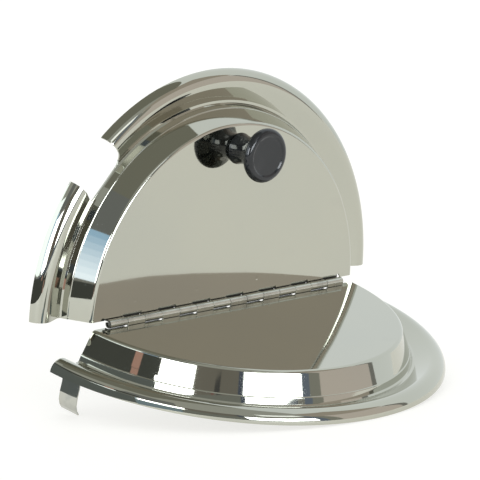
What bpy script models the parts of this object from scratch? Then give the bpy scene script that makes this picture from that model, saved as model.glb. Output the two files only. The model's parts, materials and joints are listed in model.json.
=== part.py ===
"""Hinged round cover for a food-warmer inset: two pressed half shells on a piano hinge.

Metres, +Z up. The cover stands open on a table: the fixed half leans on its two clips and
its front rim, and the other half is swung up. Everything is modelled in the cover's own
closed frame, whose origin is the middle of the hinge axis: X along the hinge, -Y towards
the fixed half, Z along the cover's axis. Two empties then tilt the cover and open it.
"""
import math

import bmesh
import bpy
from mathutils import Matrix, Vector

MM = 0.001

# Shells: radii and heights of the pressed profile, heights counted from the flat top
SHEET = 0.8 * MM
GAP = 0.3 * MM
DISC_Y = 1.6 * MM
HOLE_R = 1.0 * MM
TOP_R = 97.3 * MM
SHOULDER_R = 2.5 * MM
WALL_LEAN = math.radians(25)
CREASE_R = 104.7 * MM
CREASE_Z = -12.5 * MM
CREASE_STEP = 0.5 * MM
SEAT_IN_R = 107.2 * MM
SEAT_OUT_R = 108.6 * MM
SEAT_Z = -16.9 * MM
BRIM_R = 6.9 * MM
BRIM_C_R = 119.2 * MM
BRIM_C_Z = -19.6 * MM
FLANK_TURN = math.radians(118)
TURN_STEPS = 40
FRONT_CUT = 1.3 * MM

# Ladle notch in the lifting half's brim
NOTCH_ANGLE = math.radians(137.3)
NOTCH_WIDTH = 29.6 * MM
NOTCH_FLOOR_R = 106.9 * MM
NOTCH_ROUND = 5.5 * MM
NOTCH_SMALL_ROUND = 1.5 * MM

# Piano hinge
KNUCKLES = 14
KNUCKLE_LENGTH = 12.7 * MM
KNUCKLE_R = 2.25 * MM
LEAF = 0.9 * MM
LEAF_BEND_Y = KNUCKLE_R - LEAF / 2
LEAF_END_Y = 14.0 * MM
PIN_R = 1.05 * MM
PIN_RECESS = 0.6 * MM
AXIS_ABOVE = 1.9 * MM
BAY_Y = KNUCKLE_R + 0.35 * MM
BAY_END = 1.0 * MM
HINGE_HALF = KNUCKLES * KNUCKLE_LENGTH / 2
CURL = math.radians(285)
CURL_STEPS = 12

# Knob and its fastening; heights counted from the flat top
KNOB_X = 3.2 * MM
KNOB_Y = 84.8 * MM
KNOB_R = 15.1 * MM
KNOB_HEIGHT = 22.6 * MM
KNOB_RIM = 3.0 * MM
KNOB_STEPS = 32
BUSH_R = 4.0 * MM
BUSH_BORE_R = 2.7 * MM
BUSH_LENGTH = 11.0 * MM
SCREW_R = 2.4 * MM
SCREW_LENGTH = 12.0 * MM
SCREW_HEAD_R = 4.5 * MM
SCREW_HEAD = 2.6 * MM
WASHER_R = 5.5 * MM
WASHER = 0.8 * MM

# Clips: a bent strip; radius and height of its middle surface, top to tip
CLIP_WIDTH = 13.3 * MM
CLIP_SHEET = 0.7 * MM
CLIP_Y = -9.1 * MM
CLIP_TWIST = math.radians(-3.0)
CLIP_TIP_Z = -40.8 * MM
CLIP_PATH = (
    (110.6, -18.6),
    (115.2, -16.3),
    (116.4, -16.2),
    (117.1, -17.3),
    (117.0, -25.5),
    (117.8, -31.0),
    (117.9, -35.5),
    (116.9, -38.6),
    (115.2, -40.8),
)

# Pose
OPEN_ANGLE = math.radians(84)
LIP_Z = BRIM_C_Z
TIP_Y = CLIP_Y - CLIP_WIDTH / 2
RIM_R = BRIM_C_R + BRIM_R
TILT = math.atan2(LIP_Z - CLIP_TIP_Z, RIM_R + TIP_Y)

STEEL = ((0.62, 0.61, 0.57, 1.0), 0.08, 1.0)
HINGE_STEEL = ((0.55, 0.54, 0.50, 1.0), 0.25, 1.0)
PHENOLIC = ((0.018, 0.020, 0.022, 1.0), 0.22, 0.0)
BRASS = ((0.72, 0.53, 0.22, 1.0), 0.30, 1.0)
ZINC = ((0.48, 0.48, 0.46, 1.0), 0.35, 1.0)


def clear_scene():
    for obj in list(bpy.data.objects):
        bpy.data.objects.remove(obj, do_unlink=True)


def new_collection(name):
    collection = bpy.data.collections.new(name)
    bpy.context.scene.collection.children.link(collection)
    return collection


def empty(name, parent, collection):
    frame = bpy.data.objects.new(name, None)
    frame.parent = parent
    collection.objects.link(frame)
    return frame


def finish_material(obj, finish):
    color, roughness, metallic = finish
    material = bpy.data.materials.new(obj.name)
    material.use_nodes = True
    shader = material.node_tree.nodes["Principled BSDF"]
    shader.inputs["Base Color"].default_value = color
    shader.inputs["Roughness"].default_value = roughness
    shader.inputs["Metallic"].default_value = metallic
    material.diffuse_color = color
    obj.data.materials.append(material)


def mesh_object(name, bm, collection, parent, finish=None):
    mesh = bpy.data.meshes.new(name)
    bm.to_mesh(mesh)
    bm.free()
    mesh.shade_smooth()
    mesh.set_sharp_from_angle(angle=math.radians(30))
    obj = bpy.data.objects.new(name, mesh)
    obj.parent = parent
    collection.objects.link(obj)
    if finish:
        finish_material(obj, finish)
    return obj


def wire(points):
    """An open chain of edges through (x, z) points."""
    bm = bmesh.new()
    verts = [bm.verts.new((x, 0.0, z)) for x, z in points]
    for start, end in zip(verts, verts[1:]):
        bm.edges.new((start, end))
    return bm


def arc(center_x, center_z, radius, start, end, steps):
    """Points on an arc in the XZ plane, angles from +X towards +Z."""
    angles = [start + (end - start) * i / steps for i in range(steps + 1)]
    return [(center_x + radius * math.cos(a), center_z + radius * math.sin(a)) for a in angles]


def turn(obj, angle, steps):
    screw = obj.modifiers.new("turn", "SCREW")
    screw.angle = angle
    screw.steps = steps
    screw.render_steps = steps
    screw.use_merge_vertices = True
    screw.merge_threshold = 0.00001
    screw.use_smooth_shade = True


def thicken(obj, thickness, offset):
    solidify = obj.modifiers.new("sheet", "SOLIDIFY")
    solidify.thickness = thickness
    solidify.offset = offset
    solidify.use_even_offset = True


def cut(obj, cutter):
    boolean = obj.modifiers.new("cut " + cutter.name, "BOOLEAN")
    boolean.operation = "DIFFERENCE"
    boolean.object = cutter
    boolean.solver = "EXACT"


def box_cutter(name, low, high, collection, parent):
    """A box between two corners, in its parent's frame."""
    bm = bmesh.new()
    bmesh.ops.create_cube(bm, size=1.0)
    size = Vector(high) - Vector(low)
    middle = (Vector(high) + Vector(low)) / 2
    bmesh.ops.transform(bm, matrix=Matrix.Translation(middle) @ Matrix.Diagonal(size).to_4x4(), verts=bm.verts)
    return as_cutter(mesh_object(name, bm, collection, parent))


def as_cutter(cutter):
    cutter.hide_render = True
    cutter.display_type = "WIRE"
    return cutter


def cylinder(bm, radius, low, high, segments):
    """A closed cylinder about Z between two heights."""
    middle = Matrix.Translation((0, 0, (low + high) / 2))
    bmesh.ops.create_cone(bm, cap_ends=True, segments=segments, radius1=radius, radius2=radius,
                          depth=high - low, matrix=middle)


def shell_profile():
    """The pressed sheet's top surface, from the middle of the flat top out to the lip."""
    corner = SHOULDER_R * math.tan((math.pi / 2 - WALL_LEAN) / 2)
    shoulder_center = (TOP_R, -SHOULDER_R)
    wall_turn = WALL_LEAN
    points = [(HOLE_R, 0.0)]
    points += arc(*shoulder_center, SHOULDER_R, math.pi / 2, wall_turn, 4)
    points.append((CREASE_R, CREASE_Z))
    points.append((CREASE_R + CREASE_STEP, CREASE_Z - CREASE_STEP / 2))
    points.append((SEAT_IN_R - corner / 2, SEAT_Z + corner / 2))
    points.append((SEAT_IN_R, SEAT_Z))
    points.append((SEAT_OUT_R, SEAT_Z))
    points += arc(BRIM_C_R, BRIM_C_Z, BRIM_R, FLANK_TURN, 0.0, 8)
    return points


def half_shell(name, facing, cutters, parts, frame):
    """One pressed half; facing is +1 for the lifting half and -1 for the fixed one."""
    shell = mesh_object(name, wire(shell_profile()), parts, frame, STEEL)
    shell.location = (0, DISC_Y, -AXIS_ABOVE)
    shell.rotation_euler.z = 0 if facing > 0 else math.pi
    turn(shell, math.pi, TURN_STEPS)
    thicken(shell, SHEET, -1.0)
    reach = HINGE_HALF + BAY_END
    near, far = sorted((-facing * BAY_Y, facing * BAY_Y))
    bay = box_cutter(name + "_bay", (-reach, near, -4 * SHEET - AXIS_ABOVE), (reach, far, SHEET),
                     cutters, frame)
    cut(shell, bay)
    return shell


def front_edge_cutter(cutters, frame):
    """Trims the fixed half's cut edge back so that the closed halves don't touch."""
    edge = DISC_Y - FRONT_CUT
    return box_cutter("front_edge", (-2 * RIM_R, edge, -RIM_R), (2 * RIM_R, edge + RIM_R, RIM_R),
                      cutters, frame)


def notch_cutter(cutters, frame):
    """The ladle notch: a slot in from the rim whose two inner corners are rounded."""
    bm = bmesh.new()
    bmesh.ops.create_cube(bm, size=1.0)
    depth = 2 * (RIM_R - NOTCH_FLOOR_R)
    size = Matrix.Diagonal((depth, NOTCH_WIDTH, RIM_R)).to_4x4()
    place = Matrix.Translation((NOTCH_FLOOR_R + depth / 2, 0, 0))
    bmesh.ops.transform(bm, matrix=place @ size, verts=bm.verts)
    for side, radius in ((-1, NOTCH_ROUND), (1, NOTCH_SMALL_ROUND)):
        corner = [
            edge for edge in bm.edges
            if all(v.co.x < NOTCH_FLOOR_R + GAP and v.co.y * side > NOTCH_WIDTH / 3 for v in edge.verts)
            and abs(edge.verts[0].co.z - edge.verts[1].co.z) > SHEET
        ]
        bmesh.ops.bevel(bm, geom=corner, offset=radius, segments=5, profile=0.5, affect="EDGES")
    notch = as_cutter(mesh_object("ladle_notch", bm, cutters, frame))
    notch.location = (0, DISC_Y, -AXIS_ABOVE)
    notch.rotation_euler.z = NOTCH_ANGLE
    return notch


def screw_hole_cutter(cutters, frame):
    bm = bmesh.new()
    cylinder(bm, BUSH_BORE_R, -4 * SHEET, 4 * SHEET, 20)
    hole = as_cutter(mesh_object("screw_hole", bm, cutters, frame))
    hole.location = (KNOB_X, DISC_Y + KNOB_Y, -AXIS_ABOVE)
    return hole


def leaf_path():
    """The leaf's middle surface as (distance from the axis, height): strip, upright and rolled eye."""
    strip_z = -AXIS_ABOVE - SHEET - GAP - LEAF / 2
    points = [(LEAF_END_Y, strip_z), (LEAF_BEND_Y, strip_z)]
    return points + arc(0.0, 0.0, LEAF_BEND_Y, 0.0, CURL, CURL_STEPS)


def rolled_leaf(name, facing, first, parts, frame):
    """A hinge leaf: its strip is whole and its eyes stand only in every second place."""
    path = leaf_path()
    stations = []
    for i in range(KNUCKLES):
        start = -HINGE_HALF + i * KNUCKLE_LENGTH
        stations += [start + GAP / 2, start + KNUCKLE_LENGTH - GAP / 2]
    bm = bmesh.new()
    row = [bm.verts.new((stations[0], facing * y, z)) for y, z in path]
    edges = [bm.edges.new(pair) for pair in zip(row, row[1:])]
    for here, there in zip(stations, stations[1:]):
        grown = bmesh.ops.extrude_edge_only(bm, edges=edges)["geom"]
        moved = [item for item in grown if isinstance(item, bmesh.types.BMVert)]
        bmesh.ops.translate(bm, vec=(there - here, 0, 0), verts=moved)
        edges = [item for item in grown if isinstance(item, bmesh.types.BMEdge)
                 and abs(item.verts[0].co.x - item.verts[1].co.x) < GAP / 10]
    bm.faces.ensure_lookup_table()
    gone = [face for face in bm.faces if not leaf_keeps(face, first)]
    bmesh.ops.delete(bm, geom=gone, context="FACES")
    bmesh.ops.recalc_face_normals(bm, faces=bm.faces)
    leaf = mesh_object(name, bm, parts, frame, HINGE_STEEL)
    thicken(leaf, LEAF, 0.0)
    return leaf


def leaf_keeps(face, first):
    """True on the strip, and on the eyes of this leaf's own places."""
    center = face.calc_center_median()
    if abs(center.y) > BAY_Y:
        return True
    place = (center.x + HINGE_HALF) / KNUCKLE_LENGTH
    in_gap = abs(place - round(place)) < GAP / KNUCKLE_LENGTH
    return not in_gap and int(place) % 2 == first


def hinge_pin(parts, frame):
    bm = bmesh.new()
    reach = HINGE_HALF - PIN_RECESS
    cylinder(bm, PIN_R, -reach, reach, 16)
    bmesh.ops.rotate(bm, cent=(0, 0, 0), matrix=Matrix.Rotation(math.pi / 2, 3, "Y"), verts=bm.verts)
    return mesh_object("hinge_pin", bm, parts, frame, ZINC)


def knob_profile():
    """The knob from the middle of its face round its rim and neck, up into its socket."""
    face_z = KNOB_HEIGHT - 0.5 * MM
    points = [(0.0, face_z), (10.6 * MM, face_z), (11.6 * MM, KNOB_HEIGHT)]
    points += arc(KNOB_R - KNOB_RIM, KNOB_HEIGHT - KNOB_RIM, KNOB_RIM, math.radians(75), math.radians(-50), 6)
    points += [(11.8 * MM, 15.9 * MM), (9.4 * MM, 13.9 * MM), (8.2 * MM, 11.2 * MM), (7.7 * MM, 8.0 * MM)]
    points += [(7.8 * MM, 4.8 * MM), (8.2 * MM, 2.4 * MM), (8.8 * MM, GAP)]
    points += [(BUSH_R + GAP, GAP), (BUSH_R + GAP, BUSH_LENGTH + 2 * GAP), (0.0, BUSH_LENGTH + 2 * GAP)]
    return points


def knob(parts, frame):
    obj = mesh_object("knob", wire(knob_profile()), parts, frame, PHENOLIC)
    turn(obj, 2 * math.pi, KNOB_STEPS)
    return obj


def ring_piece(name, outer, inner, low, high, finish, parts, frame):
    """A bush or a washer: a turned rectangle."""
    loop = [(outer, high), (outer, low), (inner, low), (inner, high), (outer, high)]
    bm = wire(loop[:-1])
    bm.verts.ensure_lookup_table()
    bm.edges.new((bm.verts[3], bm.verts[0]))
    obj = mesh_object(name, bm, parts, frame, finish)
    turn(obj, 2 * math.pi, 24)
    return obj


def knob_screw(parts, frame):
    """A pan-head screw from below, its shank up in the bush."""
    head_top = -SHEET - GAP - WASHER - GAP
    head_low = head_top - SCREW_HEAD
    profile = [(0.0, SCREW_LENGTH - SHEET), (SCREW_R, SCREW_LENGTH - 2 * SHEET), (SCREW_R, head_top)]
    profile += [(SCREW_HEAD_R, head_top), (SCREW_HEAD_R, head_low + SCREW_HEAD / 2)]
    profile += [(0.75 * SCREW_HEAD_R, head_low + 0.12 * SCREW_HEAD), (0.0, head_low)]
    obj = mesh_object("knob_screw", wire(profile), parts, frame, ZINC)
    turn(obj, 2 * math.pi, 20)
    return obj


def clip(name, side, parts, frame):
    """A bent strip under the fixed half's brim; side is -1 for the left one, +1 for the right."""
    bm = bmesh.new()
    row = [bm.verts.new((side * x * MM, 0, z * MM)) for x, z in CLIP_PATH]
    edges = [bm.edges.new(pair) for pair in zip(row, row[1:])]
    grown = bmesh.ops.extrude_edge_only(bm, edges=edges)["geom"]
    moved = [item for item in grown if isinstance(item, bmesh.types.BMVert)]
    bmesh.ops.translate(bm, vec=(0, -CLIP_WIDTH, 0), verts=moved)
    bmesh.ops.translate(bm, vec=(0, CLIP_WIDTH / 2, 0), verts=bm.verts)
    pivot = (side * CLIP_PATH[4][0] * MM, 0, 0)
    bmesh.ops.rotate(bm, cent=pivot, matrix=Matrix.Rotation(side * CLIP_TWIST, 3, "Z"), verts=bm.verts)
    bmesh.ops.recalc_face_normals(bm, faces=bm.faces)
    strip = mesh_object(name, bm, parts, frame, STEEL)
    strip.location = (0, DISC_Y + CLIP_Y, -AXIS_ABOVE)
    thicken(strip, CLIP_SHEET, 0.0)
    return strip


def stand_on_origin(frame, parts):
    """Moves the whole cover so that the bottom centre of its box is at the origin."""
    bpy.context.view_layer.update()
    graph = bpy.context.evaluated_depsgraph_get()
    points = []
    for obj in parts.objects:
        if obj.type != "MESH":
            continue
        solid = obj.evaluated_get(graph)
        points += [solid.matrix_world @ v.co for v in solid.data.vertices]
    low = [min(p[axis] for p in points) for axis in range(3)]
    high = [max(p[axis] for p in points) for axis in range(3)]
    frame.location = (-(low[0] + high[0]) / 2, -(low[1] + high[1]) / 2, -low[2])


def main():
    clear_scene()
    parts = new_collection("hinged_inset_cover")
    cutters = new_collection("cutters")

    fixed_frame = empty("fixed_frame", None, parts)
    fixed_frame.rotation_euler.x = TILT
    flip_frame = empty("flip_frame", fixed_frame, parts)
    flip_frame.rotation_euler.x = OPEN_ANGLE
    knob_frame = empty("knob_frame", flip_frame, parts)
    knob_frame.location = (KNOB_X, DISC_Y + KNOB_Y, -AXIS_ABOVE)

    fixed = half_shell("fixed_cover", -1, cutters, parts, fixed_frame)
    cut(fixed, front_edge_cutter(cutters, fixed_frame))
    lifting = half_shell("flip_cover", 1, cutters, parts, flip_frame)
    cut(lifting, notch_cutter(cutters, flip_frame))
    cut(lifting, screw_hole_cutter(cutters, flip_frame))

    rolled_leaf("flip_leaf", 1, 0, parts, flip_frame)
    rolled_leaf("fixed_leaf", -1, 1, parts, fixed_frame)
    hinge_pin(parts, fixed_frame)

    knob(parts, knob_frame)
    ring_piece("knob_insert", BUSH_R, BUSH_BORE_R, GAP, BUSH_LENGTH, BRASS, parts, knob_frame)
    washer_top = -SHEET - GAP
    ring_piece("knob_washer", WASHER_R, BUSH_BORE_R, washer_top - WASHER, washer_top, ZINC, parts, knob_frame)
    knob_screw(parts, knob_frame)

    clip("left_clip", -1, parts, fixed_frame)
    clip("right_clip", 1, parts, fixed_frame)
    stand_on_origin(fixed_frame, parts)


main()
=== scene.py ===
"""Looks for the hinged inset cover: fine pressed shells, rolled hinge, moulded knob and clips.

Each piece is modelled in the closed cover's own frame, with the origin on the hinge axis,
and is then carried into place: the fixed half by the cover's lean on the table, the
lifting half by that lean and its opening. Lengths are in metres.
"""
import json
import math

import bmesh
import bpy
from mathutils import Matrix, Vector

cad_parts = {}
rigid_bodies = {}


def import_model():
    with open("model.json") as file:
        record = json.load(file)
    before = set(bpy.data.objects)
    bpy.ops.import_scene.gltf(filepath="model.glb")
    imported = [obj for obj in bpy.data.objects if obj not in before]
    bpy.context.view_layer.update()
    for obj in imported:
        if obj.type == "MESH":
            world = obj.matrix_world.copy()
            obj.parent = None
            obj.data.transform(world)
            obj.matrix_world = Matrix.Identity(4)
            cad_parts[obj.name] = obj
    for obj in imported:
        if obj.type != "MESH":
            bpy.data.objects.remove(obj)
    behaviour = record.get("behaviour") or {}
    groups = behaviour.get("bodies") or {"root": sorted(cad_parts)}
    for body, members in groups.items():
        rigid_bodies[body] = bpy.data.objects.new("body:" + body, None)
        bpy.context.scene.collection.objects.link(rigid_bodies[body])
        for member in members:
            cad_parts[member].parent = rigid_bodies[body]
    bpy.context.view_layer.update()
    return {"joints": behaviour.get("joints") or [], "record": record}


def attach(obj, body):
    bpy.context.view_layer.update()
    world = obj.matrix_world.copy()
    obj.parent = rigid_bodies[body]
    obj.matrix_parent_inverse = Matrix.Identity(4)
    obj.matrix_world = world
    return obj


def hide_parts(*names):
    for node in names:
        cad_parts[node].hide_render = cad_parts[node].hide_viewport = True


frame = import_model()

MM = 0.001
FIXED, FLIP = "fixed_half", "flip_half"

# Sheet and pressed profile; heights are counted from the flat top
SHEET = 0.8 * MM
DISC_Y = 1.6 * MM
AXIS_ABOVE = 1.9 * MM
HOLE_R = 1.0 * MM
TOP_R = 97.3 * MM
SHOULDER_R = 2.5 * MM
WALL_LEAN = math.radians(25)
CREASE_R = 104.7 * MM
CREASE_Z = -12.5 * MM
CREASE_STEP = 0.5 * MM
SEAT_IN_R = 107.2 * MM
SEAT_OUT_R = 108.6 * MM
SEAT_Z = -16.9 * MM
BRIM_R = 6.9 * MM
BRIM_C_R = 119.2 * MM
BRIM_C_Z = -19.6 * MM
FLANK_TURN = math.radians(118)
FRONT_CUT = 1.3 * MM
EDGE_ROUND = 0.12 * MM
TURN_STEPS = 180
TURNED_EDGE_DEGREES = 35

# Ladle notch
NOTCH_ANGLE = math.radians(137.3)
NOTCH_WIDTH = 29.6 * MM
NOTCH_FLOOR_R = 106.9 * MM
NOTCH_ROUND = 5.5 * MM
NOTCH_SMALL_ROUND = 1.5 * MM

# Piano hinge
KNUCKLES = 14
KNUCKLE_LENGTH = 12.7 * MM
KNUCKLE_R = 2.25 * MM
KNUCKLE_GAP = 0.3 * MM
LEAF = 0.9 * MM
LEAF_BEND_Y = KNUCKLE_R - LEAF / 2
LEAF_END_Y = 14.0 * MM
PIN_R = 1.05 * MM
PIN_RECESS = 0.6 * MM
BAY_Y = KNUCKLE_R + 0.35 * MM
COMB_Y = 3.6 * MM
LIP_PAST_AXIS = 0.9 * MM
WELD_Y = 10.0 * MM
WELDS = 4
WELD_R = 1.4 * MM
BAY_END = 1.0 * MM
HINGE_HALF = KNUCKLES * KNUCKLE_LENGTH / 2
CURL = math.radians(285)

# Knob, bush, washer and screw; heights are counted from the flat top, and the neck's radii and
# heights are in millimetres
KNOB_X = 3.2 * MM
KNOB_Y = 84.8 * MM
KNOB_R = 15.1 * MM
KNOB_HEIGHT = 22.6 * MM
KNOB_RIM = 3.0 * MM
KNOB_DISH = 0.5 * MM
KNOB_DISH_R = 10.6 * MM
KNOB_NECK = ((11.8, 15.9), (9.4, 13.9), (8.2, 11.2), (7.7, 8.0), (7.8, 4.8), (8.2, 2.4), (8.8, 0.3))
BUSH_R = 4.0 * MM
BUSH_BORE_R = 2.7 * MM
BUSH_LENGTH = 11.0 * MM
SCREW_R = 2.4 * MM
SCREW_LENGTH = 12.0 * MM
SCREW_HEAD_R = 4.5 * MM
SCREW_HEAD = 2.6 * MM
CROSS_BLADE = 0.9 * MM
CROSS_REACH = 0.58 * SCREW_HEAD_R
CROSS_DEPTH = 1.5 * MM
WASHER_R = 5.5 * MM
WASHER = 0.8 * MM
GAP = 0.3 * MM

# Clips; the path runs from weld to foot, as distance from the middle and height, in millimetres
CLIP_WIDTH = 13.3 * MM
CLIP_SHEET = 0.7 * MM
CLIP_Y = -9.1 * MM
CLIP_TWIST = math.radians(-3.0)
CLIP_BEND_R = 0.7 * MM
CLIP_HOOK_R = 0.4 * MM
CLIP_PATH = (
    (110.6, -18.6), (115.2, -16.3), (116.4, -16.2), (117.1, -17.3), (117.0, -25.5),
    (117.8, -31.0), (117.9, -35.5), (116.9, -38.6), (115.2, -40.8),
)

# Camera: where it stands round the object, and what it looks at
CAMERA_AZIMUTH = math.radians(-43.83)
CAMERA_ELEVATION = math.radians(10.51)
CAMERA_ROLL = math.radians(0.257)
CAMERA_DISTANCE = 1.7203
CAMERA_LENS = 238.5
CAMERA_TARGET = (-0.01975, 0.01873, 0.08615)

# Studio: radiances of the cards that are used more than once, and the window's rows in degrees
SOFTBOX = (8.0, 8.4, 8.8)
SCREEN = (0.085, 0.09, 0.083)
COPPER = (0.62, 0.37, 0.31)
SKY_AT_FOOT = (1.65, 1.85, 2.15)
SKY_AT_HEAD = (0.55, 0.85, 1.20)
WINDOW_ROWS = 8
WINDOW_ROW = 3.2
WINDOW_FOOT = 7
CARD_STEPS = 16


def mount(name):
    return next(m for m in frame["record"]["mounts"] if m["name"] == name)


def pitch_of(axis):
    """How far a half's flat top is turned about X, from its outward normal."""
    return math.atan2(-axis[1], axis[2])


HINGE = Vector(frame["joints"][0]["pos_m"])
FIXED_PLACE = Matrix.Translation(HINGE) @ Matrix.Rotation(pitch_of(mount("fixed_top")["axis"]), 4, "X")
FLIP_PLACE = Matrix.Translation(HINGE) @ Matrix.Rotation(pitch_of(mount("knob_face")["axis"]), 4, "X")
PLACES = {FIXED: FIXED_PLACE, FLIP: FLIP_PLACE}


# ---------------------------------------------------------------- camera, light and stage

def look_direction(azimuth, elevation):
    """From the object towards something at that azimuth and elevation."""
    return Vector((math.sin(azimuth) * math.cos(elevation), -math.cos(azimuth) * math.cos(elevation),
                   math.sin(elevation)))


def add_camera():
    back = look_direction(CAMERA_AZIMUTH, CAMERA_ELEVATION)
    camera = bpy.data.objects.new("camera", bpy.data.cameras.new("camera"))
    bpy.context.scene.collection.objects.link(camera)
    camera.data.lens = CAMERA_LENS
    camera.data.sensor_width = 36.0
    camera.data.clip_start = 0.05
    camera.data.clip_end = 50.0
    aim = (-back).to_track_quat("-Z", "Y").to_matrix().to_4x4()
    roll = Matrix.Rotation(CAMERA_ROLL, 4, "Z")
    camera.matrix_world = Matrix.Translation(Vector(CAMERA_TARGET) + back * CAMERA_DISTANCE) @ aim @ roll
    bpy.context.scene.camera = camera


def add_world(radiance):
    world = bpy.data.worlds.new("studio")
    world.use_nodes = True
    world.node_tree.nodes["Background"].inputs["Color"].default_value = (*radiance, 1.0)
    world.node_tree.nodes["Background"].inputs["Strength"].default_value = 1.0
    bpy.context.scene.world = world
    bpy.context.scene.view_settings.view_transform = "Standard"


def glow_material(name, radiance):
    material = bpy.data.materials.new(name)
    material.use_nodes = True
    nodes = material.node_tree.nodes
    nodes.clear()
    glow = nodes.new("ShaderNodeEmission")
    glow.inputs["Color"].default_value = (*radiance, 1.0)
    out = nodes.new("ShaderNodeOutputMaterial")
    material.node_tree.links.new(glow.outputs[0], out.inputs["Surface"])
    return material


def card(name, azimuths, elevations, distance, radiance, center=(0.0, 0.0, 0.03)):
    """A curved studio card round the object, seen from center between two azimuths and two elevations."""
    bm = bmesh.new()
    rows = []
    for elevation in elevations:
        height = distance * math.tan(math.radians(elevation))
        row = []
        for i in range(CARD_STEPS + 1):
            azimuth = math.radians(azimuths[0] + (azimuths[1] - azimuths[0]) * i / CARD_STEPS)
            flat = look_direction(azimuth, 0.0) * distance
            row.append(bm.verts.new(Vector(center) + flat + Vector((0, 0, height))))
        rows.append(row)
    for i in range(CARD_STEPS):
        bm.faces.new((rows[0][i], rows[0][i + 1], rows[1][i + 1], rows[1][i]))
    mesh = bpy.data.meshes.new(name)
    bm.to_mesh(mesh)
    bm.free()
    obj = bpy.data.objects.new(name, mesh)
    bpy.context.scene.collection.objects.link(obj)
    mesh.materials.append(glow_material(name, radiance))
    seen_in_metal_only(obj)


def overhead(name, x_range, y_range, height, radiance):
    deselect()
    bpy.ops.mesh.primitive_plane_add(size=1.0, location=(0, 0, 0))
    obj = bpy.context.object
    obj.name = name
    obj.scale = (x_range[1] - x_range[0], y_range[1] - y_range[0], 1.0)
    obj.location = (sum(x_range) / 2, sum(y_range) / 2, height)
    obj.data.materials.append(glow_material(name, radiance))
    seen_in_metal_only(obj)


def seen_in_metal_only(obj):
    """A card that shows in reflections but neither lights the floor nor stands in the view."""
    obj.visible_camera = False
    obj.visible_shadow = False
    obj.visible_diffuse = False


def add_floor():
    deselect()
    bpy.ops.mesh.primitive_plane_add(size=12.0, location=(0, 0, 0))
    floor = bpy.context.object
    floor.name = "floor"
    material = bpy.data.materials.new("floor")
    material.use_nodes = True
    shader = material.node_tree.nodes["Principled BSDF"]
    shader.inputs["Base Color"].default_value = (0.35, 0.335, 0.31, 1.0)
    shader.inputs["Roughness"].default_value = 0.7
    shader.inputs["Specular IOR Level"].default_value = 0.2
    shader.inputs["Emission Color"].default_value = (1.0, 1.0, 0.985, 1.0)
    shader.inputs["Emission Strength"].default_value = 0.68
    floor.data.materials.append(material)


def window():
    """A tall window, brightest at its foot and bluer towards its head."""
    for i in range(WINDOW_ROWS):
        low = WINDOW_FOOT + WINDOW_ROW * i
        sky = Vector(SKY_AT_FOOT).lerp(Vector(SKY_AT_HEAD), i / (WINDOW_ROWS - 1))
        card("window", (-92, -80), (low, low + WINDOW_ROW), 1.75, tuple(sky))


def far_cards():
    """The room: azimuths and elevations in degrees, distance, and radiance."""
    card("room", (-150, 14), (-3, 52), 2.0, (0.32, 0.32, 0.30))
    card("skirting", (-150, 4), (-3, 5), 1.9, (0.17, 0.20, 0.25))
    card("bright window", (-142, -92), (6, 42), 1.8, (2.0, 2.2, 2.3))
    window()
    card("lintel", (-92, -60), (33, 56), 0.8, (0.24, 0.25, 0.25))
    card("left softbox", (-79.5, -56), (5, 29), 1.5, SOFTBOX)
    card("dark middle", (-56, -27), (3, 34), 1.55, (0.24, 0.225, 0.20))
    card("stand", (-43.5, -40.5), (6, 20), 1.4, (0.09, 0.09, 0.09))
    card("warm spot", (-46.5, -44.5), (9, 15), 1.4, (0.28, 0.15, 0.13))
    card("other warm spot", (-40, -37.5), (9, 13), 1.4, (0.30, 0.15, 0.12))
    card("softbox frame", (-30, -27), (2, 30), 1.5, (0.10, 0.12, 0.17))
    card("right softbox", (-27, 8), (4, 22), 1.5, SOFTBOX)
    card("high softbox", (-15, 8), (36, 46), 1.0, (1.75, 1.8, 1.85))
    card("blue edge", (8, 13), (-3, 40), 1.5, (0.20, 0.24, 0.32))
    card("shaded wall", (13, 20), (-3, 36), 1.55, (0.34, 0.34, 0.31))
    card("warm wall", (20, 58), (-3, 36), 1.6, (0.77, 0.70, 0.67))
    card("upper wall", (14, 62), (36, 58), 1.6, (0.50, 0.45, 0.40))
    card("door edge", (58, 62), (-3, 34), 1.55, (0.28, 0.28, 0.27))


def near_boards():
    """Low boards close outside the rim, placed from the middle of the table."""
    for name, azimuths, elevations, distance, radiance in (
        ("dark screen", (-128, -85.5), (15.6, 20.8), 0.2, SCREEN),
        ("upper screen", (-127, -86.0), (19.4, 23.7), 0.16, SCREEN),
        ("copper strip", (-97.7, -94.1), (19.0, 20.8), 0.198, COPPER),
        ("upper copper strip", (-99.0, -95.4), (19.4, 23.0), 0.158, COPPER),
        ("low board", (-128, -88), (4, 14.4), 0.14, (0.16, 0.18, 0.18)),
        ("blue board", (-88, -72), (3, 11.6), 0.14, (0.27, 0.36, 0.43)),
        ("grey board", (-72, -46), (3, 11.6), 0.14, (0.26, 0.27, 0.25)),
    ):
        card(name, azimuths, elevations, distance, radiance, center=(0, 0, 0))


def studio():
    add_world((0.99, 1.04, 1.07))
    add_floor()
    far_cards()
    near_boards()
    overhead("ceiling", (-1.5, 0.33), (-2.4, 1.0), 1.3, (0.50, 0.51, 0.48))
    overhead("small board", (-0.205, 0.03), (-0.03, 0.20), 0.3, (0.26, 0.26, 0.22))


# ---------------------------------------------------------------- modelling helpers

def deselect():
    if bpy.context.object and bpy.context.object.mode != "OBJECT":
        bpy.ops.object.mode_set(mode="OBJECT")
    for obj in bpy.context.view_layer.objects:
        obj.select_set(False)


def arc(center_x, center_z, radius, start, end, steps):
    angles = [start + (end - start) * i / steps for i in range(steps + 1)]
    return [(center_x + radius * math.cos(a), center_z + radius * math.sin(a)) for a in angles]


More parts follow.
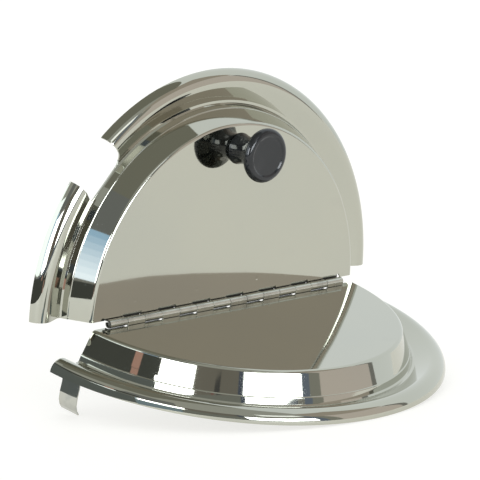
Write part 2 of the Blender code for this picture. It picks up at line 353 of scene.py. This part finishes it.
def chain(name, points):
    """A mesh of one wire through (x, z) points, drawn by extruding its last point again and again."""
    deselect()
    first = Vector((points[0][0], 0, points[0][1]))
    bpy.ops.mesh.primitive_plane_add(size=MM, location=first)
    obj = bpy.context.object
    obj.name = obj.data.name = name
    bpy.ops.object.transform_apply(location=True, rotation=True, scale=True)
    edit(obj)
    bpy.ops.mesh.merge(type="CENTER")
    for here, there in zip(points, points[1:]):
        step = (there[0] - here[0], 0, there[1] - here[1])
        bpy.ops.mesh.extrude_region_move(TRANSFORM_OT_translate={"value": step})
    bpy.ops.object.mode_set(mode="OBJECT")
    return obj


def edit(obj):
    deselect()
    obj.select_set(True)
    bpy.context.view_layer.objects.active = obj
    bpy.ops.object.mode_set(mode="EDIT")
    bpy.ops.mesh.select_mode(type="VERT")
    bpy.ops.mesh.select_all(action="SELECT")


def spin(obj, angle, steps):
    """Turns a wire about Z, towards -Y first; a whole turn is welded where it meets itself."""
    edit(obj)
    bpy.ops.mesh.spin(steps=steps, angle=angle, center=(0, 0, 0), axis=(0, 0, 1))
    bpy.ops.mesh.select_all(action="SELECT")
    bpy.ops.mesh.remove_doubles(threshold=0.00001)
    bpy.ops.mesh.normals_make_consistent(inside=False)
    bpy.ops.object.mode_set(mode="OBJECT")


def modify(obj, kind, **settings):
    """Adds a modifier and applies it."""
    modifier = obj.modifiers.new(kind.lower(), kind)
    for name, value in settings.items():
        setattr(modifier, name, value)
    deselect()
    obj.select_set(True)
    bpy.context.view_layer.objects.active = obj
    bpy.ops.object.modifier_apply(modifier=modifier.name)


def cut_away(obj, cutter):
    modify(obj, "BOOLEAN", operation="DIFFERENCE", object=cutter, solver="EXACT")
    bpy.data.objects.remove(cutter, do_unlink=True)


def block(name, low, high):
    """A box between two corners."""
    deselect()
    size = Vector(high) - Vector(low)
    bpy.ops.mesh.primitive_cube_add(size=1.0, location=(Vector(high) + Vector(low)) / 2, scale=size)
    obj = bpy.context.object
    obj.name = name
    bpy.ops.object.transform_apply(location=True, rotation=True, scale=True)
    return obj


def smooth(obj, degrees):
    deselect()
    obj.select_set(True)
    bpy.context.view_layer.objects.active = obj
    bpy.ops.object.shade_smooth_by_angle(angle=math.radians(degrees))


def settle(obj, body, material, *nodes):
    """Carries a piece from the closed cover's frame to its place, and hangs it on its body."""
    obj.data.transform(PLACES[body])
    obj.data.materials.clear()
    obj.data.materials.append(material)
    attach(obj, body)
    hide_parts(*nodes)
    return obj


# ---------------------------------------------------------------- shader expressions

class Value:
    """A socket in a shader tree; arithmetic on values adds Math nodes."""

    def __init__(self, bench, socket):
        self.bench = bench
        self.socket = socket

    def math(self, operation, *others):
        values = {0: self, **{i + 1: other for i, other in enumerate(others)}}
        return self.bench.node("ShaderNodeMath", {"operation": operation}, values)

    def __add__(self, other):
        return self.math("ADD", other)

    def __sub__(self, other):
        return self.math("SUBTRACT", other)

    def __mul__(self, other):
        return self.math("MULTIPLY", other)

    def __rsub__(self, other):
        return self.bench.node("ShaderNodeMath", {"operation": "SUBTRACT"}, {0: other, 1: self})

    __radd__ = __add__
    __rmul__ = __mul__

    def band(self, low, high):
        """0 below low, 1 above high, with a soft step between; high below low turns it round."""
        values = {"Value": self, "From Min": low, "From Max": high}
        return self.bench.node("ShaderNodeMapRange", {"interpolation_type": "SMOOTHSTEP"}, values)


class Bench:
    """One material under construction, with its Principled shader."""

    def __init__(self, name, color, roughness, metallic):
        self.material = bpy.data.materials.new(name)
        self.material.use_nodes = True
        self.tree = self.material.node_tree
        self.shader = self.tree.nodes["Principled BSDF"]
        self.fill(self.shader, {"Base Color": color, "Roughness": roughness, "Metallic": metallic})
        self.material.diffuse_color = (*color, 1.0)

    def fill(self, node, values):
        for key, value in values.items():
            socket = node.inputs[key]
            if isinstance(value, Value):
                self.tree.links.new(value.socket, socket)
            elif isinstance(value, tuple) and len(value) < len(socket.default_value):
                socket.default_value = (*value, 1.0)
            else:
                socket.default_value = value

    def node(self, kind, settings=None, values=None, output=0):
        """Any node: its settings first, then the values or links of its sockets."""
        node = self.tree.nodes.new(kind)
        for name, setting in (settings or {}).items():
            setattr(node, name, setting)
        self.fill(node, values or {})
        return Value(self, node.outputs[output])

    def place(self, body):
        """Object coordinates turned back into the closed cover's own frame."""
        coordinates = self.node("ShaderNodeTexCoord", output="Object")
        settings = {"vector_type": "TEXTURE"}
        turned = (PLACES[body].to_euler().x, 0.0, 0.0)
        values = {"Vector": coordinates, "Location": tuple(HINGE), "Rotation": turned}
        return self.node("ShaderNodeMapping", settings, values)

    def axes(self, vector):
        split = self.tree.nodes.new("ShaderNodeSeparateXYZ")
        self.fill(split, {"Vector": vector})
        return [Value(self, socket) for socket in split.outputs]

    def stretched(self, vector, scale):
        return self.node("ShaderNodeVectorMath", {"operation": "MULTIPLY"}, {0: vector, 1: scale})

    def noise(self, vector, scale, detail=2.0, rough=0.5):
        values = {"Vector": vector, "Scale": scale, "Detail": detail, "Roughness": rough}
        return self.node("ShaderNodeTexNoise", None, values)

    def mix(self, factor, first, second):
        values = {"Factor": factor, "A": first, "B": second}
        node = self.tree.nodes.new("ShaderNodeMix")
        node.data_type = "RGBA"
        wanted = {"Factor": node.inputs[0], "A": node.inputs[6], "B": node.inputs[7]}
        for key, value in values.items():
            if isinstance(value, Value):
                self.tree.links.new(value.socket, wanted[key])
            else:
                wanted[key].default_value = (*value, 1.0) if isinstance(value, tuple) else value
        return Value(self, node.outputs[2])

    def bump(self, height, distance):
        return self.node("ShaderNodeBump", None, {"Height": height, "Distance": distance, "Strength": 1.0})

    def finish(self, **values):
        self.fill(self.shader, {name.replace("_", " "): value for name, value in values.items()})
        return self.material


def near_points(bench, vector, points, radius):
    """1 at each point and 0 from radius on, in the cover's frame."""
    total = 0.0
    for point in points:
        values = {0: vector, 1: point}
        distance = bench.node("ShaderNodeVectorMath", {"operation": "DISTANCE"}, values, output="Value")
        total = total + distance.band(radius, 0.25 * radius)
    return total


def polished_steel(name, body, welds):
    """Mirror-polished stainless sheet: turned polishing lines, faint smears, specks and weld marks."""
    bench = Bench(name, (0.48, 0.48, 0.41), 0.05, 1.0)
    place = bench.place(body)
    x, y, z = bench.axes(place)
    from_center = y - DISC_Y
    radius = (x * x + from_center * from_center).math("SQRT")
    lines = bench.node("ShaderNodeCombineXYZ", None, {"X": radius})
    turned = bench.noise(lines, 2600.0, 3.0, 0.6)
    smear = bench.noise(bench.stretched(place, (22.0, 34.0, 30.0)), 1.0, 5.0, 0.6)
    smeared = smear.band(0.56, 0.78)
    specks = bench.noise(place, 900.0, 1.0).band(0.74, 0.80)
    tint = bench.noise(place, 9.0, 2.0).band(0.35, 0.70)
    roughness = 0.035 + 0.07 * smeared + 0.02 * turned + 0.12 * specks
    color = bench.mix(tint, (0.485, 0.485, 0.415), (0.465, 0.470, 0.410))
    color = bench.mix(0.25 * smeared, color, (0.42, 0.42, 0.38))
    ripple = bench.noise(place, 14.0, 1.0)
    height = 0.010 * turned + 4.0 * ripple - 0.6 * near_points(bench, place, welds, WELD_R)
    return bench.finish(Base_Color=color, Roughness=roughness, Normal=bench.bump(height, 0.05 * MM))


def hinge_steel(body):
    """Drawn stainless strip: fine lines along the hinge, duller patches, and painted shade on the strip
    under the eyes and at the hinge's ends, where the gap lies in shadow.
    """
    bench = Bench("hinge_steel_" + body, (0.50, 0.50, 0.45), 0.25, 1.0)
    place = bench.place(body)
    x, y, z = bench.axes(place)
    lines = bench.noise(bench.stretched(place, (60.0, 1800.0, 1800.0)), 1.0, 3.0, 0.6)
    dull = bench.noise(place, 120.0, 3.0).band(0.45, 0.70)
    at_eyes = y.math("ABSOLUTE").band(BAY_Y + GAP, BAY_Y - GAP)
    under = z.band(-KNUCKLE_R * 0.8, -KNUCKLE_R)
    end = x.math("ABSOLUTE").band(HINGE_HALF - KNUCKLE_GAP * 1.5, HINGE_HALF - KNUCKLE_GAP)
    # painted shade: near-black on the strip beneath the eyes and at the hinge's two ends, standing in for
    # the shadow in the gap
    painted_shade = at_eyes * under.math("MAXIMUM", end)
    color = bench.mix(dull, (0.53, 0.54, 0.48), (0.43, 0.435, 0.39))
    color = bench.mix(painted_shade, color, (0.09, 0.09, 0.08))
    return bench.finish(Base_Color=color, Roughness=0.18 + 0.06 * lines + 0.08 * dull + 0.2 * painted_shade,
                        Normal=bench.bump(lines, 0.006 * MM))


def clip_steel():
    """Spring steel, polished once and then bent: slightly hazy where it was formed."""
    bench = Bench("clip_steel", (0.48, 0.48, 0.43), 0.1, 1.0)
    place = bench.place(FIXED)
    lines = bench.noise(bench.stretched(place, (900.0, 40.0, 900.0)), 1.0, 3.0)
    haze = bench.noise(place, 160.0, 3.0).band(0.45, 0.75)
    color = bench.mix(haze, (0.50, 0.50, 0.45), (0.42, 0.43, 0.40))
    return bench.finish(Base_Color=color, Roughness=0.07 + 0.08 * haze + 0.04 * lines,
                        Normal=bench.bump(lines, 0.01 * MM))


def moulded_black():
    """Black phenolic moulding: high gloss with a slight ripple, dust specks and a rubbed rim."""
    bench = Bench("moulded_black", (0.012, 0.014, 0.016), 0.15, 0.0)
    place = bench.place(FLIP)
    ripple = bench.noise(place, 260.0, 3.0)
    dust = bench.noise(place, 2200.0, 1.0).band(0.72, 0.80)
    rubbed = bench.noise(place, 90.0, 4.0).band(0.50, 0.75)
    color = bench.mix(0.35 * rubbed, (0.011, 0.013, 0.015), (0.028, 0.030, 0.032))
    color = bench.mix(0.5 * dust, color, (0.10, 0.10, 0.095))
    return bench.finish(Base_Color=color, Roughness=0.12 + 0.10 * rubbed + 0.2 * dust,
                        Normal=bench.bump(ripple, 0.02 * MM))


def turned_brass():
    bench = Bench("turned_brass", (0.70, 0.52, 0.22), 0.28, 1.0)
    place = bench.place(FLIP)
    rings = bench.noise(bench.stretched(place, (30.0, 30.0, 3000.0)), 1.0, 2.0)
    dull = bench.noise(place, 300.0, 3.0).band(0.4, 0.7)
    color = bench.mix(dull, (0.74, 0.56, 0.25), (0.52, 0.38, 0.18))
    return bench.finish(Base_Color=color, Roughness=0.22 + 0.15 * dull, Normal=bench.bump(rings, 0.02 * MM))


def oiled_wire():
    """Hard steel wire, dark with oil, for the hinge pin."""
    bench = Bench("oiled_wire", (0.14, 0.14, 0.13), 0.35, 1.0)
    film = bench.noise(bench.place(FIXED), 400.0, 3.0)
    color = bench.mix(film.band(0.4, 0.7), (0.17, 0.17, 0.155), (0.09, 0.085, 0.075))
    return bench.finish(Base_Color=color, Roughness=0.28 + 0.14 * film)


def plated_zinc(name, body):
    bench = Bench(name, (0.46, 0.46, 0.44), 0.32, 1.0)
    place = bench.place(body)
    grain = bench.noise(place, 1400.0, 3.0)
    stain = bench.noise(place, 200.0, 3.0).band(0.45, 0.70)
    color = bench.mix(stain, (0.50, 0.50, 0.49), (0.38, 0.37, 0.33))
    return bench.finish(Base_Color=color, Roughness=0.26 + 0.14 * stain, Normal=bench.bump(grain, 0.02 * MM))


# ---------------------------------------------------------------- pressed shells

def rounded(corners, steps=5):
    """Points along straight runs whose corners are (r, z, radius); a corner of no radius stays sharp."""
    points = []
    for i, (r, z, radius) in enumerate(corners):
        here = Vector((r, z))
        if radius == 0.0:
            points.append((r, z))
            continue
        back = (Vector(corners[i - 1][:2]) - here).normalized()
        ahead = (Vector(corners[i + 1][:2]) - here).normalized()
        half = back.angle(ahead) / 2
        center = here + (back + ahead).normalized() * (radius / math.sin(half))
        start = here + back * (radius / math.tan(half)) - center
        end = here + ahead * (radius / math.tan(half)) - center
        turn = start.angle_signed(end)
        for k in range(steps + 1):
            arm = start.copy()
            arm.rotate(Matrix.Rotation(-turn * k / steps, 2))
            points.append(tuple(center + arm))
    return points


def shell_profile():
    """The sheet's top surface, from the middle of the flat top out to the lip."""
    wall_top = arc(TOP_R, -SHOULDER_R, SHOULDER_R, math.pi / 2, WALL_LEAN, 14)
    corner = SHOULDER_R * math.tan((math.pi / 2 - WALL_LEAN) / 2)
    brim = arc(BRIM_C_R, BRIM_C_Z, BRIM_R, FLANK_TURN, 0.0, 36)
    small = 0.15 * MM
    over = SHEET + 0.1 * MM
    foot = [
        (*wall_top[-1], 0.0),
        (CREASE_R, CREASE_Z, small),
        (CREASE_R + CREASE_STEP, CREASE_Z - CREASE_STEP / 2, over),
        (SEAT_IN_R - corner / 2, SEAT_Z + corner / 2, small),
        (SEAT_IN_R, SEAT_Z, small),
        (SEAT_OUT_R, SEAT_Z, small),
        (*brim[0], 0.0),
    ]
    return [(HOLE_R, 0.0)] + wall_top + rounded(foot)[1:-1] + brim


def half_shell(name, facing):
    """One pressed half with its hinge bay; facing is +1 for the lifting half and -1 for the fixed one."""
    shell = chain(name, shell_profile())
    spin(shell, math.pi, TURN_STEPS)
    edit(shell)
    if facing > 0:
        bpy.ops.transform.rotate(value=math.pi, orient_axis="Z", center_override=(0, 0, 0))
    bpy.ops.transform.translate(value=(0, DISC_Y, -AXIS_ABOVE))
    bpy.ops.object.mode_set(mode="OBJECT")
    face_up(shell)
    modify(shell, "SOLIDIFY", thickness=SHEET, offset=-1.0, use_even_offset=True)
    cut_bay(shell, facing)
    return shell


def cut_bay(shell, facing):
    """The hinge bay, close to the eyes; the lifting half is cut deeper beside the other half's eyes."""
    reach = HINGE_HALF + BAY_END
    bays = [(-reach, reach, BAY_Y)]
    if facing > 0:
        for i in range(1, KNUCKLES, 2):
            start = -HINGE_HALF + i * KNUCKLE_LENGTH
            bays.append((start - KNUCKLE_GAP, start + KNUCKLE_LENGTH + KNUCKLE_GAP, COMB_Y))
    for left, right, depth in bays:
        near, far = sorted((-facing * depth, facing * depth))
        cut_away(shell, block("bay", (left, near, -4 * SHEET - AXIS_ABOVE), (right, far, SHEET)))


def face_up(shell):
    """Turns the open sheet's faces so that its flat top looks up."""
    edit(shell)
    bpy.ops.mesh.normals_make_consistent(inside=False)
    bpy.ops.object.mode_set(mode="OBJECT")
    top = max(shell.data.polygons, key=lambda face: face.area)
    if top.normal.z < 0:
        edit(shell)
        bpy.ops.mesh.flip_normals()
        bpy.ops.object.mode_set(mode="OBJECT")


def trim_front_edge(shell):
    """Cuts the fixed half back from the hinge line so that the closed halves keep clear."""
    edge = DISC_Y - FRONT_CUT
    reach = BRIM_C_R + 2 * BRIM_R
    cut_away(shell, block("front_edge", (-reach, edge, -reach), (reach, edge + reach, reach)))


def ladle_notch():
    """A slot in from the rim whose two inner corners are rounded."""
    depth = 2 * (BRIM_C_R + BRIM_R - NOTCH_FLOOR_R)
    low = (NOTCH_FLOOR_R, -NOTCH_WIDTH / 2, -BRIM_C_R / 2)
    high = (NOTCH_FLOOR_R + depth, NOTCH_WIDTH / 2, BRIM_C_R / 2)
    cutter = block("notch", low, high)
    for side, radius in ((-1, NOTCH_ROUND), (1, NOTCH_SMALL_ROUND)):
        select_edges(cutter, lambda a, b: a.x < NOTCH_FLOOR_R + MM and b.x < NOTCH_FLOOR_R + MM
                     and min(a.y * side, b.y * side) > 0 and abs(a.z - b.z) > MM)
        bpy.ops.mesh.bevel(offset=radius, offset_type="OFFSET", segments=14, profile=0.5)
        bpy.ops.object.mode_set(mode="OBJECT")
    edit(cutter)
    bpy.ops.transform.rotate(value=-NOTCH_ANGLE, orient_axis="Z", center_override=(0, 0, 0))
    bpy.ops.transform.translate(value=(0, DISC_Y, -AXIS_ABOVE))
    bpy.ops.object.mode_set(mode="OBJECT")
    return cutter


def select_edges(obj, wanted):
    """Goes to edit mode with only the edges selected whose two ends pass the test."""
    edit(obj)
    bpy.ops.mesh.select_mode(type="EDGE")
    bpy.ops.mesh.select_all(action="DESELECT")
    bm = bmesh.from_edit_mesh(obj.data)
    for edge in bm.edges:
        if wanted(edge.verts[0].co, edge.verts[1].co):
            edge.select_set(True)
    bmesh.update_edit_mesh(obj.data)


def screw_hole():
    deselect()
    bpy.ops.mesh.primitive_cylinder_add(vertices=48, radius=BUSH_BORE_R, depth=8 * SHEET,
                                        location=(KNOB_X, DISC_Y + KNOB_Y, -AXIS_ABOVE))
    hole = bpy.context.object
    bpy.ops.object.transform_apply(location=True, rotation=True, scale=True)
    return hole


def break_edges(obj, width, segments=2):
    """Rounds every sharp edge a little and keeps the broad faces true."""
    modify(obj, "BEVEL", width=width, segments=segments, limit_method="ANGLE",
           angle_limit=math.radians(50), use_clamp_overlap=True)
    smooth(obj, 40)
    modify(obj, "WEIGHTED_NORMAL", mode="FACE_AREA", weight=50, keep_sharp=True)


def covers():
    welds = weld_places()
    fixed = half_shell("fixed_shell", -1)
    trim_front_edge(fixed)
    lifting = half_shell("lifting_shell", 1)
    cut_away(lifting, ladle_notch())
    cut_away(lifting, screw_hole())
    for shell in (fixed, lifting):
        break_edges(shell, EDGE_ROUND)
    fixed_steel = polished_steel("polished_steel_fixed", FIXED, welds[FIXED])
    lifting_steel = polished_steel("polished_steel_lifting", FLIP, welds[FLIP])
    settle(fixed, FIXED, fixed_steel, "fixed_cover")
    settle(lifting, FLIP, lifting_steel, "flip_cover")


def weld_places():
    """Where each leaf is spot-welded to its half, as faint marks in the top surface."""
    reach = HINGE_HALF - 1.6 * KNUCKLE_LENGTH
    spots = [-reach + 2 * reach * i / (WELDS - 1) for i in range(WELDS)]
    return {
        FIXED: [(x, -WELD_Y, -AXIS_ABOVE) for x in spots],
        FLIP: [(x, WELD_Y, -AXIS_ABOVE) for x in spots],
    }


# ---------------------------------------------------------------- piano hinge

def leaf_path():
    """The leaf's middle surface as (distance from the axis, height): strip, upright and rolled eye."""
    strip_z = -AXIS_ABOVE - SHEET - GAP - LEAF / 2
    points = [(LEAF_END_Y, strip_z), (LEAF_BEND_Y, strip_z)]
    return points + arc(0.0, 0.0, LEAF_BEND_Y, 0.0, CURL, 40)


def rolled_leaf(name, facing, first):
    """A hinge leaf: its strip is whole and its eyes stand only in every second place."""
    stations = []
    for i in range(KNUCKLES):
        start = -HINGE_HALF + i * KNUCKLE_LENGTH
        stations += [start + KNUCKLE_GAP / 2, start + KNUCKLE_LENGTH - KNUCKLE_GAP / 2]
    leaf = chain(name, leaf_path())
    edit(leaf)
    bpy.ops.transform.rotate(value=-facing * math.pi / 2, orient_axis="Z", center_override=(0, 0, 0))
    bpy.ops.transform.translate(value=(stations[0], 0, 0))
    for here, there in zip(stations, stations[1:]):
        bpy.ops.mesh.extrude_region_move(TRANSFORM_OT_translate={"value": (there - here, 0, 0)})
    drop_other_eyes(leaf, first)
    draw_out_lips(leaf, facing, first)
    modify(leaf, "SOLIDIFY", thickness=LEAF, offset=0.0, use_even_offset=True)
    break_edges(leaf, EDGE_ROUND)
    return leaf


def drop_other_eyes(leaf, first):
    """Deletes the eyes in the other leaf's places and in the gaps."""
    bpy.ops.mesh.select_mode(type="FACE")
    bpy.ops.mesh.select_all(action="DESELECT")
    bm = bmesh.from_edit_mesh(leaf.data)
    for face in bm.faces:
        center = face.calc_center_median()
        place = (center.x + HINGE_HALF) / KNUCKLE_LENGTH
        in_gap = abs(place - round(place)) < KNUCKLE_GAP / KNUCKLE_LENGTH
        other = in_gap or int(place) % 2 != first
        if abs(center.y) < BAY_Y and other:
            face.select_set(True)
    bmesh.update_edit_mesh(leaf.data)
    bpy.ops.mesh.delete(type="FACE")
    bpy.ops.mesh.select_all(action="SELECT")
    bpy.ops.mesh.normals_make_consistent(inside=False)


def draw_out_lips(leaf, facing, first):
    """Draws the strip's edge in under the other leaf's eyes."""
    edge_y = facing * LEAF_BEND_Y
    for i in range(1 - first, KNUCKLES, 2):
        left = -HINGE_HALF + i * KNUCKLE_LENGTH - KNUCKLE_GAP
        right = left + KNUCKLE_LENGTH + 2 * KNUCKLE_GAP
        select_edges(leaf, lambda a, b: abs(a.y - edge_y) < EDGE_ROUND and abs(b.y - edge_y) < EDGE_ROUND
                     and abs(a.z - b.z) < EDGE_ROUND and left < min(a.x, b.x) and max(a.x, b.x) < right
                     and abs(a.x - b.x) > KNUCKLE_LENGTH / 2)
        inward = -facing * (LEAF_BEND_Y + LIP_PAST_AXIS)
        bpy.ops.mesh.extrude_region_move(TRANSFORM_OT_translate={"value": (0, inward, 0)})
    bpy.ops.mesh.select_all(action="SELECT")
    bpy.ops.mesh.normals_make_consistent(inside=False)
    bpy.ops.object.mode_set(mode="OBJECT")


def hinge_pin():
    deselect()
    bpy.ops.mesh.primitive_cylinder_add(vertices=48, radius=PIN_R, depth=2 * (HINGE_HALF - PIN_RECESS),
                                        rotation=(0, math.pi / 2, 0))
    pin = bpy.context.object
    pin.name = pin.data.name = "pin"
    bpy.ops.object.transform_apply(location=True, rotation=True, scale=True)
    break_edges(pin, 0.3 * MM, 3)
    return pin


def hinge():
    for name, body, facing, first, node in (
        ("lifting_leaf", FLIP, 1, 0, "flip_leaf"),
        ("standing_leaf", FIXED, -1, 1, "fixed_leaf"),
    ):
        leaf = rolled_leaf(name, facing, first)
        settle(leaf, body, hinge_steel(body), node)
    pin = settle(hinge_pin(), FIXED, oiled_wire(), "hinge_pin")


# ---------------------------------------------------------------- knob and its fastening

def flowing(points, steps):
    """A smooth curve through points, with that many steps from each to the next."""
    knots = [Vector(p) for p in points]
    knots = [2 * knots[0] - knots[1]] + knots + [2 * knots[-1] - knots[-2]]
    curve = []
    for a, b, c, d in zip(knots, knots[1:], knots[2:], knots[3:]):
        for k in range(steps):
            t = k / steps
            curve.append(tuple(0.5 * (2 * b + (c - a) * t + (2 * a - 5 * b + 4 * c - d) * t * t
                                      + (3 * b - a - 3 * c + d) * t ** 3)))
    return curve + [tuple(points[-1])]


def knob_profile():
    """The knob from the middle of its face round its rim and neck, up into its socket."""
    face_z = KNOB_HEIGHT - KNOB_DISH
    head = [(0.0, face_z, 0.0), (KNOB_DISH_R, face_z, 0.3 * MM), (KNOB_DISH_R + MM, KNOB_HEIGHT, 0.3 * MM)]
    side = arc(KNOB_R - KNOB_RIM, KNOB_HEIGHT - KNOB_RIM, KNOB_RIM, math.radians(82), math.radians(-50), 22)
    head.append((*side[0], 0.0))
    neck = [(r * MM, z * MM) for r, z in KNOB_NECK]
    socket_r = BUSH_R + GAP
    socket_z = BUSH_LENGTH + 2 * GAP
    socket = [(socket_r, GAP), (socket_r, socket_z), (0.0, socket_z)]
    return rounded(head)[:-1] + side + flowing(neck, 5) + socket


def carry_to_knob(obj):
    """Moves a piece that was turned about Z out to the knob's place on the lifting half."""
    edit(obj)
    bpy.ops.transform.translate(value=(KNOB_X, DISC_Y + KNOB_Y, -AXIS_ABOVE))
    bpy.ops.object.mode_set(mode="OBJECT")


def turned(name, points, steps):
    piece = chain(name, points)
    spin(piece, 2 * math.pi, steps)
    smooth(piece, TURNED_EDGE_DEGREES)
    return piece


def ring(name, outer, inner, low, high, round_off):
    """A turned ring with rounded edges."""
    corners = [(outer, (low + high) / 2, 0.0), (outer, low, round_off), (inner, low, round_off),
               (inner, high, round_off), (outer, high, round_off), (outer, (low + high) / 2, 0.0)]
    return turned(name, rounded(corners), 64)


def cross_recess(screw, head_low):
    """Cuts the driver's cross into the screw's head."""
    for x, y in ((CROSS_REACH, CROSS_BLADE / 2), (CROSS_BLADE / 2, CROSS_REACH)):
        cut_away(screw, block("slot", (-x, -y, head_low - SHEET), (x, y, head_low + CROSS_DEPTH)))


def knob_and_screw():
    black = moulded_black()
    brass = turned_brass()
    zinc = plated_zinc("plated_screw", FLIP)
    knob = turned("knob_moulding", knob_profile(), 96)
    insert = ring("threaded_bush", BUSH_R, BUSH_BORE_R, GAP, BUSH_LENGTH, 0.2 * MM)
    washer_top = -SHEET - GAP
    washer = ring("washer", WASHER_R, BUSH_BORE_R, washer_top - WASHER, washer_top, 0.15 * MM)
    head_top = washer_top - WASHER - GAP
    head_low = head_top - SCREW_HEAD
    shank_end = SCREW_LENGTH - SHEET
    corners = [(0.0, shank_end, 0.0), (SCREW_R, shank_end - SHEET, 0.2 * MM), (SCREW_R, head_top, 0.0),
               (SCREW_HEAD_R, head_top, 0.1 * MM), (SCREW_HEAD_R, head_low + SCREW_HEAD / 2, 0.6 * MM),
               (0.75 * SCREW_HEAD_R, head_low + 0.12 * SCREW_HEAD, 0.8 * MM), (0.0, head_low, 0.0)]
    screw = turned("pan_screw", rounded(corners), 64)
    cross_recess(screw, head_low)
    smooth(screw, TURNED_EDGE_DEGREES)
    for piece, material, node, slot in (
        (knob, black, "knob", "black_phenolic"),
        (insert, brass, "knob_insert", "brass_insert"),
        (washer, zinc, "knob_washer", "screw_steel"),
        (screw, zinc, "knob_screw", "screw_steel"),
    ):
        carry_to_knob(piece)
        settle(piece, FLIP, material, node)


# ---------------------------------------------------------------- clips

def spring_clip(name, side):
    """A bent strip under the fixed half's brim; side is -1 for the left one, +1 for the right."""
    rounds = {0: 0.0, 1: CLIP_HOOK_R, 2: CLIP_HOOK_R, len(CLIP_PATH) - 1: 0.0}
    path = [(r * MM, z * MM, rounds.get(i, CLIP_BEND_R)) for i, (r, z) in enumerate(CLIP_PATH)]
    strip = chain(name, [(side * r, z) for r, z in rounded(path, 6)])
    edit(strip)
    bpy.ops.transform.translate(value=(0, CLIP_WIDTH / 2, 0))
    bpy.ops.mesh.extrude_region_move(TRANSFORM_OT_translate={"value": (0, -CLIP_WIDTH, 0)})
    bpy.ops.mesh.select_all(action="SELECT")
    pivot = (side * CLIP_PATH[4][0] * MM, 0, 0)
    bpy.ops.transform.rotate(value=-side * CLIP_TWIST, orient_axis="Z", center_override=pivot)
    bpy.ops.transform.translate(value=(0, DISC_Y + CLIP_Y, -AXIS_ABOVE))
    bpy.ops.mesh.normals_make_consistent(inside=False)
    bpy.ops.object.mode_set(mode="OBJECT")
    modify(strip, "SOLIDIFY", thickness=CLIP_SHEET, offset=0.0, use_even_offset=True)
    break_edges(strip, EDGE_ROUND)
    return strip


def clips():
    steel = clip_steel()
    for name, side, node in (("clip_left", -1, "left_clip"), ("clip_right", 1, "right_clip")):
        settle(spring_clip(name, side), FIXED, steel, node)


# ---------------------------------------------------------------- the whole scene

add_camera()
studio()
covers()
hinge()
knob_and_screw()
clips()
